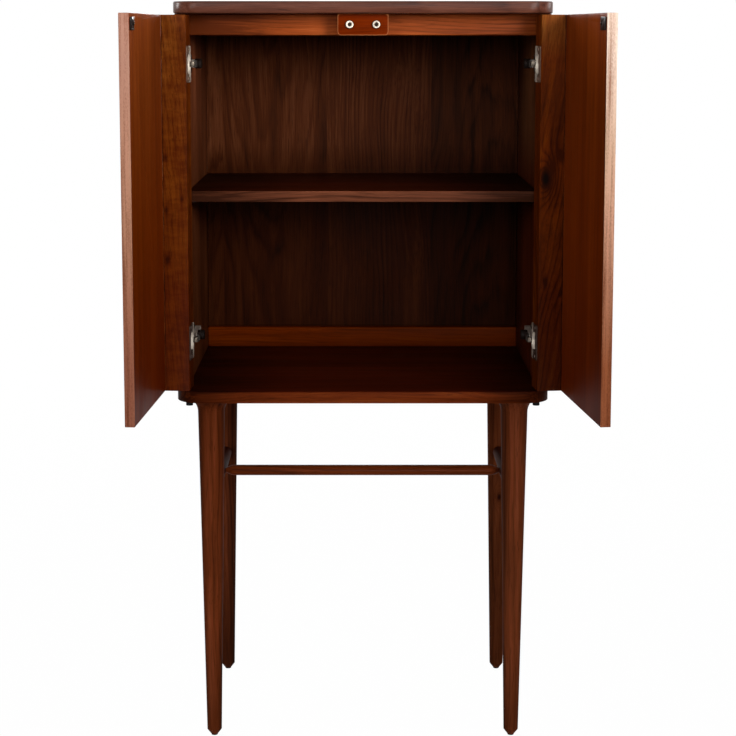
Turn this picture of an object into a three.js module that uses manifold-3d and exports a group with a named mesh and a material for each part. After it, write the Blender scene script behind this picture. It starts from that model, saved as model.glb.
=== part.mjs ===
// A bar cabinet on four turned legs: two deep swing doors, one shelf, and a foot rail.
// Millimetres, +Z up, +Y to the back. The origin is on the floor, midway across the
// cabinet and midway between its back and the free ends of its open doors.
// Plan places are given as u, inward from the outer face of a side, and v, back from
// the front edge of the boards, so the left and right halves share every number.
import * as THREE from 'three';
import { mergeVertices } from 'three/addons/utils/BufferGeometryUtils.js';
import Module from 'manifold-3d';

const wasm = await Module();
wasm.setup();

// Carcase
const cabinetWidth = 600;
const cabinetDepth = 420;
const innerHeight = 600;
const standHeight = 571;
const boardThickness = 19;
const cornerRadius = 41;
const sideThickness = 18;
const backThickness = 6;
const frontRailThickness = 18;
const frontRailHeight = 34;
const rearRailThickness = 16;
const rearRailHeight = 36;

// Shelf and its four pins
const shelfThickness = 18;
const shelfHeight = 317;
const shelfSetback = 3;
const shelfEndGap = 1;
const shelfRearGap = 2;
const pinRadius = 2.5;
const pinReach = 9;
const pinDepth = 10;
const pinInset = 45;

// Doors: a flat panel glued to a deep post that carries the rounded corner
const panelThickness = 15;
const postDepth = 54;
const postFlat = 1;
const postRearGap = 3;
const doorGap = 2;
const meetingGap = 3;
const leftOpenAngle = 93.5;
const rightOpenAngle = 96;

// Door pivot, and the cup hinges
const pivotInset = 5;
const pivotAhead = 21;
const hingeEndInset = 77;
const cupInset = 21;
const cupRadius = 17.3;
const cupDepth = 12.5;
const cupWall = 1.2;
const flangeLength = 57;
const flangeWidth = 38;
const flangeThickness = 1.2;
const flangeCornerRadius = 3;
const flangeScrewSpacing = 46;
const flangeScrewShift = 5;
const flangeScrewRadius = 3.4;
const flangeScrewHeight = 1.4;

// Hinge plate on the side panel, arm on the plate, the link at the arm's nose, and the
// adjusting cam, a drum on the arm
const plateThickness = 3;
const plateLength = 56;
const plateWidth = 14;
const plateSetback = 16;
const wingLength = 31;
const wingWidth = 17;
const wingSetback = 31;
const wingScrewSpacing = 21;
const wingScrewRadius = 4;
const wingScrewHeight = 1.6;
const armHeight = 9;
const armWidth = 11.4;
const armLength = 64;
const armSetback = 10;
const armScrewRadius = 4.2;
const armScrewHeight = 1.8;
const armScrewSetback = 46;
const linkPinLift = 11;
const linkPinAhead = 7.5;
const linkPinRadius = 1.2;
const noseRadius = 3;
const forkWidth = 8.2;
const linkLength = 16;
const linkHookLength = 4;
const linkHeadRadius = 2.3;
const linkKneeRadius = 1.6;
const linkTipRadius = 1.5;
const linkHookAngle = -80;
const linkClosedAngle = 178;
const linkTurnShare = 1;
const camRadius = 8;
const camHeight = 11;
const camChamfer = 1.2;
const camSetback = 21;
const camStemRadius = 2;
const camStemLength = 4;

// Door catches: a block behind the doors' meeting line, two magnets and their strikes
const blockWidth = 80;
const blockCornerRadius = 6;
const magnetSpacing = 42;
const magnetRadius = 6.6;
const magnetThickness = 3.5;
const magnetGap = 0.7;
const strikeThickness = 1.5;
const strikeWidth = 28;
const strikeHeight = 19;
const strikeScrewShift = 10;

// Countersunk magnet screws and round-headed strike screws
const screwShankRadius = 1.5;
const screwLength = 12;
const screwHeadRadius = 3;
const screwHeadDepth = 1.8;
const crossLength = 3.6;
const crossWidth = 0.9;
const crossDepth = 1.1;
const strikeScrewLength = 9;
const strikeScrewHeadRadius = 2.5;
const strikeScrewHeadHeight = 0.9;

// Legs and their glides
const legInset = 53.5;
const frontLegSetback = 45;
const rearLegSetback = 345;
const legTopRadius = 21.7;
const legBottomRadius = 12;
const flareRadius = 26;
const flareAngle = 60;
const footRadius = 6;
const footChamferHeight = 8;
const glideRadius = 5.3;
const glideHeight = 2;
const glideStemRadius = 2;
const glideStemLength = 10;
const legTenonRadius = 12;
const legTenonLength = 10;

// Foot rail: a stretcher between the legs at each side, and a bar across
const stretcherHeight = 410;
const stretcherRadius = 11;
const stretcherTenonRadius = 7;
const stretcherTenonLength = 9;
const barRadius = 9;
const barSetback = 200;
const barTaperLength = 15;
const barTenonRadius = 4;
const barTenonLength = 7;

// Small black studs under the front corners of the base board
const studRadius = 5.6;
const studHeight = 5.6;
const studInset = 21.3;
const studSetback = 14;

// Fits: seam between glued or turned faces, play round pins and tenons, end play of
// holes, and how far a cutter runs past the face that it opens
const seam = 0.3;
const play = 0.3;
const endPlay = 0.6;
const overrun = 1;

// Facets of round shapes
const legFacets = 32;
const roundFacets = 24;
const smallFacets = 12;
const cornerFacets = 8;
const smallCornerFacets = 4;
const halfShare = 0.5;

// Levels and planes that the pieces share
const halfWidth = cabinetWidth * halfShare;
const floorLevel = standHeight + boardThickness;
const ceilingLevel = floorLevel + innerHeight;
const doorBottom = floorLevel + doorGap;
const doorHeight = innerHeight - doorGap - doorGap;
const doorTop = doorBottom + doorHeight;
const postWidth = cornerRadius + postFlat;
const doorWidth = halfWidth - meetingGap * halfShare;
const carcaseFront = postDepth + postRearGap;
const backFace = cabinetDepth - backThickness;
const rearRailFace = backFace - rearRailThickness;
const pivotV = postDepth - pivotAhead;
const catchLevel = ceilingLevel - frontRailHeight * halfShare;
const strikeMiddle = halfWidth - magnetSpacing * halfShare;
const blockFace = panelThickness + strikeThickness + seam + magnetGap + magnetThickness;
const shelfTop = floorLevel + shelfHeight;
const shelfBottom = shelfTop - shelfThickness;
const hingeLevels = {
  upper: doorTop - hingeEndInset,
  lower: doorBottom + hingeEndInset,
};

// The doors' free ends reach furthest forward, and set how deep the whole part is
function doorReach(openAngle) {
  const angle = THREE.MathUtils.degToRad(openAngle);
  const along = Math.sin(angle) * (doorWidth - pivotInset);
  const across = Math.cos(angle) * (panelThickness - pivotV);
  return pivotV - along + across;
}
const frontReach = Math.min(doorReach(leftOpenAngle), doorReach(rightOpenAngle));
const originV = (cabinetDepth + frontReach) * halfShare;

const left = { side: -1, name: 'left', openAngle: leftOpenAngle };
const right = { side: 1, name: 'right', openAngle: rightOpenAngle };
const sides = [left, right];
const legRows = [
  { name: 'front', v: frontLegSetback },
  { name: 'rear', v: rearLegSetback },
];

const walnut = { color: 0x4a2413, roughness: 0.5, metalness: 0 };
const walnutDoor = { color: 0x5c2d14, roughness: 0.5, metalness: 0 };
const walnutPost = { color: 0x55290f, roughness: 0.5, metalness: 0 };
const walnutVeneer = { color: 0x33190f, roughness: 0.55, metalness: 0 };
const stainedRail = { color: 0x6d3212, roughness: 0.5, metalness: 0 };
const nickel = { color: 0xc9c6c0, roughness: 0.3, metalness: 1 };
const blackPlastic = { color: 0x0c0c0c, roughness: 0.6, metalness: 0 };

const cabinet = new THREE.Group();

function addPiece(parent, name, geometry, look) {
  const mesh = new THREE.Mesh(geometry, new THREE.MeshStandardMaterial(look));
  mesh.name = name;
  parent.add(mesh);
}

// Solids for cutting and joining, and back again
function toSolid(geometry) {
  const bare = geometry.index ? geometry.toNonIndexed() : geometry.clone();
  bare.deleteAttribute('normal');
  bare.deleteAttribute('uv');
  const merged = mergeVertices(bare);
  return new wasm.Manifold(new wasm.Mesh({
    numProp: 3,
    vertProperties: new Float32Array(merged.attributes.position.array),
    triVerts: new Uint32Array(merged.index.array),
  }));
}

function toGeometry(solid) {
  const mesh = solid.getMesh();
  const geometry = new THREE.BufferGeometry();
  const positions = new Float32Array((mesh.vertProperties.length / mesh.numProp) * 3);
  for (let i = 0; i < positions.length / 3; i += 1) {
    for (let axis = 0; axis < 3; axis += 1) {
      positions[i * 3 + axis] = mesh.vertProperties[i * mesh.numProp + axis];
    }
  }
  geometry.setAttribute('position', new THREE.BufferAttribute(positions, 3));
  geometry.setIndex(new THREE.BufferAttribute(new Uint32Array(mesh.triVerts), 1));
  geometry.computeVertexNormals();
  return geometry;
}

function cut(geometry, cutters) {
  let solid = toSolid(geometry);
  for (const cutter of cutters) {
    solid = solid.subtract(toSolid(cutter));
  }
  return toGeometry(solid);
}

function join(geometry, additions) {
  let solid = toSolid(geometry);
  for (const addition of additions) {
    solid = solid.add(toSolid(addition));
  }
  return toGeometry(solid);
}

// A plan frame turns u and v into x and y about an origin, mirrored for the right side
function planFrame(side, originU, planOriginV) {
  return {
    x: (u) => -side * (u - originU),
    y: (v) => v - planOriginV,
  };
}

function arcPoints(u, v, radius, fromAngle, toAngle, facets) {
  const points = [];
  for (let i = 0; i <= facets; i += 1) {
    const angle = THREE.MathUtils.degToRad(fromAngle + ((toAngle - fromAngle) * i) / facets);
    points.push([u + radius * Math.cos(angle), v + radius * Math.sin(angle)]);
  }
  return points;
}

// A plan outline raised between two levels
function raise(frame, points, bottom, top) {
  const outline = points.map(([u, v]) => new THREE.Vector2(frame.x(u), frame.y(v)));
  const shape = new THREE.Shape(outline);
  const geometry = new THREE.ExtrudeGeometry(shape, { depth: top - bottom, bevelEnabled: false });
  geometry.translate(0, 0, bottom);
  return geometry;
}

function rectangle(fromU, fromV, toU, toV) {
  return [[fromU, fromV], [toU, fromV], [toU, toV], [fromU, toV]];
}

// A block between two corners in the cabinet's own frame, centred across
function crossBlock(width, fromV, toV, bottom, top) {
  const geometry = new THREE.BoxGeometry(width, toV - fromV, top - bottom);
  geometry.translate(0, (fromV + toV) * halfShare - originV, (bottom + top) * halfShare);
  return geometry;
}

// Round bars along each axis, between two places on it
function barAlongX(radius, fromX, toX, y, z, facets) {
  const geometry = new THREE.CylinderGeometry(radius, radius, Math.abs(toX - fromX), facets);
  geometry.rotateZ(Math.PI / 2);
  geometry.translate((fromX + toX) * halfShare, y, z);
  return geometry;
}

function barAlongY(radius, x, fromY, toY, z, facets) {
  const geometry = new THREE.CylinderGeometry(radius, radius, Math.abs(toY - fromY), facets);
  geometry.translate(x, (fromY + toY) * halfShare, z);
  return geometry;
}

function barAlongZ(radius, x, y, fromZ, toZ, facets) {
  const geometry = new THREE.CylinderGeometry(radius, radius, Math.abs(toZ - fromZ), facets);
  geometry.rotateX(Math.PI / 2);
  geometry.translate(x, y, (fromZ + toZ) * halfShare);
  return geometry;
}

// Turned about an upright axis: profile points are radius and level
function turn(profile, x, y, facets) {
  const points = profile.map(([radius, level]) => new THREE.Vector2(radius, level));
  const geometry = new THREE.LatheGeometry(points, facets);
  geometry.rotateX(Math.PI / 2);
  geometry.translate(x, y, 0);
  return geometry;
}

const shared = planFrame(left.side, halfWidth, originV);
const legX = halfWidth - legInset;
const legTenonTop = standHeight + legTenonLength;

// Top and base boards, with rounded front corners
function boardOutline() {
  const farCorner = cabinetWidth - cornerRadius;
  return [
    ...arcPoints(cornerRadius, cornerRadius, cornerRadius, 180, 270, cornerFacets),
    ...arcPoints(farCorner, cornerRadius, cornerRadius, 270, 360, cornerFacets),
    [cabinetWidth, cabinetDepth],
    [0, cabinetDepth],
  ];
}

function makeBoards() {
  const outline = boardOutline();
  const topBoard = raise(shared, outline, ceilingLevel, ceilingLevel + boardThickness);
  addPiece(cabinet, 'top_board', topBoard, walnut);
  const mortises = [];
  for (const { side } of sides) {
    for (const { v } of legRows) {
      const deep = legTenonTop + endPlay;
      const from = standHeight - overrun;
      const radius = legTenonRadius + play;
      mortises.push(barAlongZ(radius, side * legX, v - originV, from, deep, roundFacets));
    }
  }
  const baseBoard = cut(raise(shared, outline, standHeight, floorLevel), mortises);
  addPiece(cabinet, 'base_board', baseBoard, walnut);
}

// Side panels, drilled for the shelf pins
const pinLevel = shelfBottom - pinRadius - seam;
const pinPlaces = [
  { name: 'front', v: carcaseFront + shelfSetback + pinInset },
  { name: 'rear', v: backFace - shelfRearGap - pinInset },
];

function makeSidePanels() {
  for (const { side, name } of sides) {
    const frame = planFrame(side, halfWidth, originV);
    const outline = rectangle(0, carcaseFront, sideThickness, cabinetDepth);
    const panel = raise(frame, outline, floorLevel, ceilingLevel);
    const innerX = frame.x(sideThickness + overrun);
    const deepX = frame.x(sideThickness - pinDepth - endPlay);
    const holes = pinPlaces.map(({ v }) => {
      return barAlongX(pinRadius + play, innerX, deepX, frame.y(v), pinLevel, smallFacets);
    });
    addPiece(cabinet, `${name}_side_panel`, cut(panel, holes), walnut);
    for (const { name: place, v } of pinPlaces) {
      const fromX = frame.x(sideThickness - pinDepth);
      const toX = frame.x(sideThickness + pinReach);
      const pin = barAlongX(pinRadius, fromX, toX, frame.y(v), pinLevel, smallFacets);
      addPiece(cabinet, `shelf_pin_${name}_${place}`, pin, nickel);
    }
  }
}

// Back panel, rails and shelf between the side panels
const innerWidth = cabinetWidth - sideThickness - sideThickness;

function makeInside() {
  const back = crossBlock(innerWidth, backFace, cabinetDepth, floorLevel, ceilingLevel);
  addPiece(cabinet, 'back_panel', back, walnutVeneer);
  const bottomRailTop = floorLevel + rearRailHeight;
  const bottomRail = crossBlock(innerWidth, rearRailFace, backFace, floorLevel, bottomRailTop);
  addPiece(cabinet, 'bottom_rear_rail', bottomRail, stainedRail);
  const topRailBottom = ceilingLevel - rearRailHeight;
  const topRail = crossBlock(innerWidth, rearRailFace, backFace, topRailBottom, ceilingLevel);
  addPiece(cabinet, 'top_rear_rail', topRail, stainedRail);
  const shelfWidth = innerWidth - shelfEndGap - shelfEndGap;
  const shelfFront = carcaseFront + shelfSetback;
  const shelfRear = backFace - shelfRearGap;
  const shelf = crossBlock(shelfWidth, shelfFront, shelfRear, shelfBottom, shelfTop);
  addPiece(cabinet, 'shelf', shelf, walnut);
}

// A screw along v, head forward: its profile is radius and depth behind the head's face
function screwProfile(headRadius, headDepth, shankRadius, length) {
  return [[0, 0], [headRadius, 0], [shankRadius, headDepth], [shankRadius, length], [0, length]];
}

function turnedAlongV(profile, x, faceY, z, facets) {
  const points = profile.map(([radius, depth]) => new THREE.Vector2(radius, depth));
  const geometry = new THREE.LatheGeometry(points, facets);
  geometry.translate(x, faceY, z);
  return geometry;
}

// Turned about an axis along x: profile points are radius and place along it
function turnedAlongX(profile, x, y, z, facets) {
  const points = profile.map(([radius, along]) => new THREE.Vector2(radius, along));
  const geometry = new THREE.LatheGeometry(points, facets);
  geometry.rotateZ(-Math.PI / 2);
  geometry.translate(x, y, z);
  return geometry;
}

function crossRecess(x, faceY, z) {
  const depth = crossDepth + overrun;
  const upright = new THREE.BoxGeometry(crossWidth, depth, crossLength);
  const level = new THREE.BoxGeometry(crossLength, depth, crossWidth);
  const middle = faceY + crossDepth - depth * halfShare;
  return [upright.translate(x, middle, z), level.translate(x, middle, z)];
}

// Front top rail, catch block, magnets and their screws
function makeCatches() {
  const railBottom = ceilingLevel - frontRailHeight;
  const railBack = carcaseFront + frontRailThickness;
  const magnetFaceY = blockFace - magnetThickness - originV;
  const rail = crossBlock(innerWidth, carcaseFront, railBack, railBottom, ceilingLevel);
  addPiece(cabinet, 'top_front_rail', rail, stainedRail);

  const halfBlock = blockWidth * halfShare;
  const cornerX = halfBlock - blockCornerRadius;
  const cornerZ = railBottom + blockCornerRadius;
  const outline = [
    ...arcPoints(-cornerX, cornerZ, blockCornerRadius, 180, 270, smallCornerFacets),
    ...arcPoints(cornerX, cornerZ, blockCornerRadius, 270, 360, smallCornerFacets),
    [halfBlock, ceilingLevel],
    [-halfBlock, ceilingLevel],
  ];
  const shape = new THREE.Shape(outline.map(([x, z]) => new THREE.Vector2(x, z)));
  const blockDepth = carcaseFront - blockFace;
  const block = new THREE.ExtrudeGeometry(shape, { depth: blockDepth, bevelEnabled: false });
  block.rotateX(Math.PI / 2);
  block.translate(0, carcaseFront - originV, 0);
  const pilotRadius = screwShankRadius + play;
  const pilotEnd = screwLength + endPlay;
  const pilots = [];
  for (const { side, name } of sides) {
    const x = side * magnetSpacing * halfShare;
    const holeFrom = blockFace - originV - overrun;
    const holeTo = magnetFaceY + pilotEnd;
    pilots.push(barAlongY(pilotRadius, x, holeFrom, holeTo, catchLevel, smallFacets));
    const magnetProfile = [
      [screwHeadRadius + play, 0],
      [magnetRadius, 0],
      [magnetRadius, magnetThickness],
      [screwShankRadius + play, magnetThickness],
      [screwShankRadius + play, screwHeadDepth + play],
      [screwHeadRadius + play, play],
      [screwHeadRadius + play, 0],
    ];
    const magnet = turnedAlongV(magnetProfile, x, magnetFaceY, catchLevel, roundFacets);
    addPiece(cabinet, `${name}_magnet`, magnet, nickel);
    const profile = screwProfile(screwHeadRadius, screwHeadDepth, screwShankRadius, screwLength);
    const screw = turnedAlongV(profile, x, magnetFaceY, catchLevel, smallFacets);
    const recessed = cut(screw, crossRecess(x, magnetFaceY, catchLevel));
    addPiece(cabinet, `${name}_magnet_screw`, recessed, nickel);
  }
  addPiece(cabinet, 'catch_block', cut(block, pilots), stainedRail);
}

// A leg's outline from foot to tenon: chamfered foot, straight taper, flared head
const flareHeight = flareRadius * Math.sin(THREE.MathUtils.degToRad(flareAngle));
const taperTop = standHeight - flareHeight;
const taperBottom = glideHeight + footChamferHeight;

function legRadiusAt(level) {
  const share = (level - taperBottom) / (taperTop - taperBottom);
  return legBottomRadius + (legTopRadius - legBottomRadius) * share;
}

function legProfile() {
  const profile = [[0, glideHeight], [footRadius, glideHeight], [legBottomRadius, taperBottom]];
  const flareCentre = legTopRadius + flareRadius;
  for (let i = 0; i <= cornerFacets; i += 1) {
    const angle = THREE.MathUtils.degToRad((flareAngle * i) / cornerFacets);
    const radius = flareCentre - flareRadius * Math.cos(angle);
    profile.push([radius, taperTop + flareRadius * Math.sin(angle)]);
  }
  profile.push([legTenonRadius, standHeight]);
  profile.push([legTenonRadius, legTenonTop]);
  profile.push([0, legTenonTop]);
  return profile;
}

// A round cutter as wide as the leg at the stretcher's height, and a little play
function legCutter(x, y) {
  const from = stretcherHeight - stretcherRadius - overrun;
  const to = stretcherHeight + stretcherRadius + overrun;
  const lowRadius = legRadiusAt(from) + play;
  const highRadius = legRadiusAt(to) + play;
  return turn([[0, from], [lowRadius, from], [highRadius, to], [0, to]], x, y, legFacets);
}

// Where a stretcher's tenon ends inside a leg, measured from the leg's axis
const tenonEnd = legRadiusAt(stretcherHeight) - stretcherTenonLength;

function makeLegs() {
  for (const { side, name } of sides) {
    const x = side * legX;
    for (const { name: row, v } of legRows) {
      const y = v - originV;
      const inward = row === 'front' ? 1 : -1;
      const mortiseDeep = y + inward * (tenonEnd - endPlay);
      const mortiseOpen = y + inward * (legTopRadius + overrun);
      const radius = stretcherTenonRadius + play;
      const stemTop = glideHeight + glideStemLength + endPlay;
      const stemHoleRadius = glideStemRadius + play;
      const stemFrom = glideHeight - overrun;
      const cutters = [
        barAlongY(radius, x, mortiseDeep, mortiseOpen, stretcherHeight, roundFacets),
        barAlongZ(stemHoleRadius, x, y, stemFrom, stemTop, smallFacets),
      ];
      const leg = cut(turn(legProfile(), x, y, legFacets), cutters);
      addPiece(cabinet, `${row}_${name}_leg`, leg, walnut);
      const glideTop = glideHeight + glideStemLength;
      const glide = turn([
        [0, 0],
        [glideRadius, 0],
        [glideRadius, glideHeight],
        [glideStemRadius, glideHeight],
        [glideStemRadius, glideTop],
        [0, glideTop],
      ], x, y, smallFacets);
      addPiece(cabinet, `${row}_${name}_glide`, glide, blackPlastic);
    }
  }
}

// The cross bar's outline: its ends taper, with a rounded shoulder, down to their tenons
function barProfile(barEnd) {
  const taperEnd = legX - stretcherRadius;
  const half = [];
  for (let i = 0; i <= cornerFacets; i += 1) {
    const angle = (Math.PI * halfShare * i) / cornerFacets;
    const radius = barTenonRadius + (barRadius - barTenonRadius) * Math.sin(angle);
    half.push([radius, taperEnd - barTaperLength * (i / cornerFacets)]);
  }
  half.unshift([0, barEnd], [barTenonRadius, barEnd]);
  const mirrored = half.map(([radius, along]) => [radius, -along]);
  return [...mirrored, ...half.reverse()];
}

function makeFootRail() {
  const frontY = frontLegSetback - originV;
  const rearY = rearLegSetback - originV;
  const barY = barSetback - originV;
  const barEnd = legX - stretcherRadius + barTenonLength;
  for (const { side, name } of sides) {
    const x = side * legX;
    const z = stretcherHeight;
    const rod = barAlongY(stretcherRadius, x, frontY, rearY, z, roundFacets);
    const coped = cut(rod, [legCutter(x, frontY), legCutter(x, rearY)]);
    const tenonFrom = frontY + tenonEnd;
    const tenonTo = rearY - tenonEnd;
    const tenon = barAlongY(stretcherTenonRadius, x, tenonFrom, tenonTo, z, roundFacets);
    const mortiseDeep = side * (barEnd + endPlay);
    const mortiseOpen = side * (legX - stretcherRadius - overrun);
    const mortiseRadius = barTenonRadius + play;
    const mortise = barAlongX(mortiseRadius, mortiseDeep, mortiseOpen, barY, z, roundFacets);
    addPiece(cabinet, `${name}_stretcher`, cut(join(coped, [tenon]), [mortise]), walnut);
  }
  const bar = turnedAlongX(barProfile(barEnd), 0, barY, stretcherHeight, roundFacets);
  addPiece(cabinet, 'cross_bar', bar, walnut);
}

function makeStuds() {
  for (const { side, name } of sides) {
    const frame = planFrame(side, halfWidth, originV);
    const bottom = standHeight - studHeight;
    const x = frame.x(studInset);
    const y = frame.y(studSetback);
    const stud = barAlongZ(studRadius, x, y, bottom, standHeight, smallFacets);
    addPiece(cabinet, `${name}_base_stud`, stud, blackPlastic);
  }
}

// A cup hinge's cup: a shallow pot with a flange and two screw heads, open to the back
function makeCup(frame, level) {
  const x = frame.x(cupInset);
  const faceY = frame.y(postDepth + seam);
  const flangeY = faceY + flangeThickness;
  const potBottom = frame.y(postDepth - cupDepth);
  const pot = barAlongY(cupRadius, x, potBottom, flangeY, level, roundFacets);
  const cavityRadius = cupRadius - cupWall;
  const cavityFrom = potBottom + cupWall;
  const cavity = barAlongY(cavityRadius, x, cavityFrom, flangeY + overrun, level, roundFacets);
  const halfLong = flangeLength * halfShare - flangeCornerRadius;
  const halfWide = flangeWidth * halfShare - flangeCornerRadius;
  const outline = [
    ...arcPoints(halfWide, halfLong, flangeCornerRadius, 0, 90, smallCornerFacets),
    ...arcPoints(-halfWide, halfLong, flangeCornerRadius, 90, 180, smallCornerFacets),
    ...arcPoints(-halfWide, -halfLong, flangeCornerRadius, 180, 270, smallCornerFacets),
    ...arcPoints(halfWide, -halfLong, flangeCornerRadius, 270, 360, smallCornerFacets),
  ];
  const shape = new THREE.Shape(outline.map(([across, up]) => new THREE.Vector2(across, up)));
  const options = { depth: flangeThickness, bevelEnabled: false };
  const flange = new THREE.ExtrudeGeometry(shape, options);
  flange.rotateX(Math.PI / 2);
  flange.translate(x, flangeY, level);
  const screwX = frame.x(cupInset + flangeScrewShift);
  const screwTop = flangeY + flangeScrewHeight;
  const heads = [-1, 1].map((end) => {
    const z = level + end * flangeScrewSpacing * halfShare;
    return barAlongY(flangeScrewRadius, screwX, faceY, screwTop, z, smallFacets);
  });
  return cut(join(pot, [flange, ...heads]), [cavity]);
}

function makeDoors() {
  for (const { side, name, openAngle } of sides) {
    const frame = planFrame(side, pivotInset, pivotV);
    const door = new THREE.Group();
    door.position.set(side * (halfWidth - pivotInset), pivotV - originV, 0);
    door.rotation.z = side * THREE.MathUtils.degToRad(openAngle);
    cabinet.add(door);

    const postOutline = [
      [postWidth, 0],
      ...arcPoints(cornerRadius, cornerRadius, cornerRadius, 270, 180, cornerFacets),
      [0, postDepth],
      [postWidth, postDepth],
    ];
    const bores = Object.values(hingeLevels).map((level) => {
      const deep = frame.y(postDepth - cupDepth - endPlay);
      const open = frame.y(postDepth + overrun);
      return barAlongY(cupRadius + play, frame.x(cupInset), deep, open, level, roundFacets);
    });
    const post = cut(raise(frame, postOutline, doorBottom, doorTop), bores);
    addPiece(door, `${name}_door_post`, post, walnutPost);

    const panelOutline = rectangle(postWidth + seam, 0, doorWidth, panelThickness);
    const strikeFace = frame.y(panelThickness + seam + strikeThickness);
    const screwX = frame.x(strikeMiddle - strikeScrewShift);
    const headFace = strikeFace + strikeScrewHeadHeight;
    const screwEnd = headFace - strikeScrewLength;
    const pilotRadius = screwShankRadius + play;
    const pilotFrom = screwEnd - endPlay;
    const pilotTo = strikeFace + overrun;
    const pilot = barAlongY(pilotRadius, screwX, pilotFrom, pilotTo, catchLevel, smallFacets);
    const panel = cut(raise(frame, panelOutline, doorBottom, doorTop), [pilot]);
    addPiece(door, `${name}_door_panel`, panel, walnutDoor);

    const strikeFrom = strikeMiddle - strikeWidth * halfShare;
    const strikeTo = strikeMiddle + strikeWidth * halfShare;
    const strikeV = panelThickness + seam;
    const strikeOutline = rectangle(strikeFrom, strikeV, strikeTo, strikeV + strikeThickness);
    const strikeBottom = catchLevel - strikeHeight * halfShare;
    const strikeTop = catchLevel + strikeHeight * halfShare;
    const strike = cut(raise(frame, strikeOutline, strikeBottom, strikeTop), [pilot]);
    addPiece(door, `${name}_strike_plate`, strike, nickel);

    const shank = barAlongY(screwShankRadius, screwX, screwEnd, headFace, catchLevel, smallFacets);
    const headBack = strikeFace + play;
    const head = barAlongY(
      strikeScrewHeadRadius, screwX, headBack, headFace, catchLevel, smallFacets,
    );
    addPiece(door, `${name}_strike_screw`, join(shank, [head]), nickel);

    for (const [height, level] of Object.entries(hingeLevels)) {
      addPiece(door, `${name}_${height}_hinge_cup`, makeCup(frame, level), nickel);
    }
  }
}

// Hinge plates, arms and links. A link's pin lies in the arm's forked nose, inside the
// cup when the door is closed, and its hook stays clear of the cup all the way round.
const plateTop = sideThickness + plateThickness;
const linkPinU = plateTop + linkPinLift;
const linkPinV = postDepth - linkPinAhead;

function makePlate(frame, level) {
  const from = carcaseFront + plateSetback;
  const half = plateWidth * halfShare;
  const outline = rectangle(sideThickness, from, plateTop, from + plateLength);
  const plate = raise(frame, outline, level - half, level + half);
  const wingFrom = carcaseFront + wingSetback;
  const wingHalf = wingLength * halfShare;
  const wingOutline = rectangle(sideThickness, wingFrom, plateTop, wingFrom + wingWidth);
  const wing = raise(frame, wingOutline, level - wingHalf, level + wingHalf);
  const screwY = frame.y(wingFrom + wingWidth * halfShare);
  const headFrom = frame.x(sideThickness + overrun);
  const headTo = frame.x(plateTop + wingScrewHeight);
  const heads = [-1, 1].map((end) => {
    const z = level + end * wingScrewSpacing * halfShare;
    return barAlongX(wingScrewRadius, headFrom, headTo, screwY, z, smallFacets);
  });
  return join(plate, [wing, ...heads]);
}

function makeArm(frame, level) {
  const armTop = plateTop + armHeight;
  const armFront = carcaseFront + armSetback;
  const half = armWidth * halfShare;
  const outline = [
    [plateTop, armFront + armLength],
    [plateTop, armFront],
    [linkPinU - noseRadius, armFront - noseRadius],
    ...arcPoints(linkPinU, linkPinV, noseRadius, 180, 360, smallCornerFacets),
    [linkPinU + noseRadius, armFront - noseRadius],
    [armTop, armFront + noseRadius],
    [armTop, armFront + armLength],
  ];
  const arm = raise(frame, outline, level - half, level + half);
  const slotHalf = forkWidth * halfShare;
  const reach = linkHeadRadius + play;
  const slotOutline = rectangle(
    linkPinU - noseRadius - overrun, linkPinV - noseRadius - overrun,
    linkPinU + noseRadius + overrun, linkPinV + reach,
  );
  const slot = raise(frame, slotOutline, level - slotHalf, level + slotHalf);
  const pinX = frame.x(linkPinU);
  const pinY = frame.y(linkPinV);
  const pin = barAlongZ(linkPinRadius, pinX, pinY, level - half, level + half, smallFacets);
  const screwFrom = frame.x(plateTop + overrun);
  const screwTo = frame.x(armTop + armScrewHeight);
  const screwY = frame.y(carcaseFront + armScrewSetback);
  const screw = barAlongX(armScrewRadius, screwFrom, screwTo, screwY, level, smallFacets);
  const camBore = barAlongX(
    camStemRadius + play, frame.x(armTop + overrun), frame.x(armTop - camStemLength - endPlay),
    frame.y(carcaseFront + camSetback), level, smallFacets,
  );
  return join(cut(arm, [slot, camBore]), [pin, screw]);
}

// An adjusting cam: a drum with a chamfered face, and a stem in the arm
function makeCam(frame, side, level) {
  const foot = plateTop + armHeight + seam;
  const top = foot + camHeight;
  const profile = [
    [0, foot - camStemLength],
    [camStemRadius, foot - camStemLength],
    [camStemRadius, foot],
    [camRadius, foot],
    [camRadius, top - camChamfer],
    [camRadius - camChamfer, top],
    [0, top],
  ].map(([radius, u]) => [radius, frame.x(u)]);
  const outline = side === left.side ? profile : profile.reverse();
  return turnedAlongX(outline, 0, frame.y(carcaseFront + camSetback), level, roundFacets);
}

// A tapered bar in plan with round ends, from one place to another
function taperedBar(fromU, fromV, fromRadius, toU, toV, toRadius) {
  const along = THREE.MathUtils.radToDeg(Math.atan2(toV - fromV, toU - fromU));
  return [
    ...arcPoints(fromU, fromV, fromRadius, along + 90, along + 270, smallCornerFacets),
    ...arcPoints(toU, toV, toRadius, along - 90, along + 90, smallCornerFacets),
  ];
}

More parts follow.
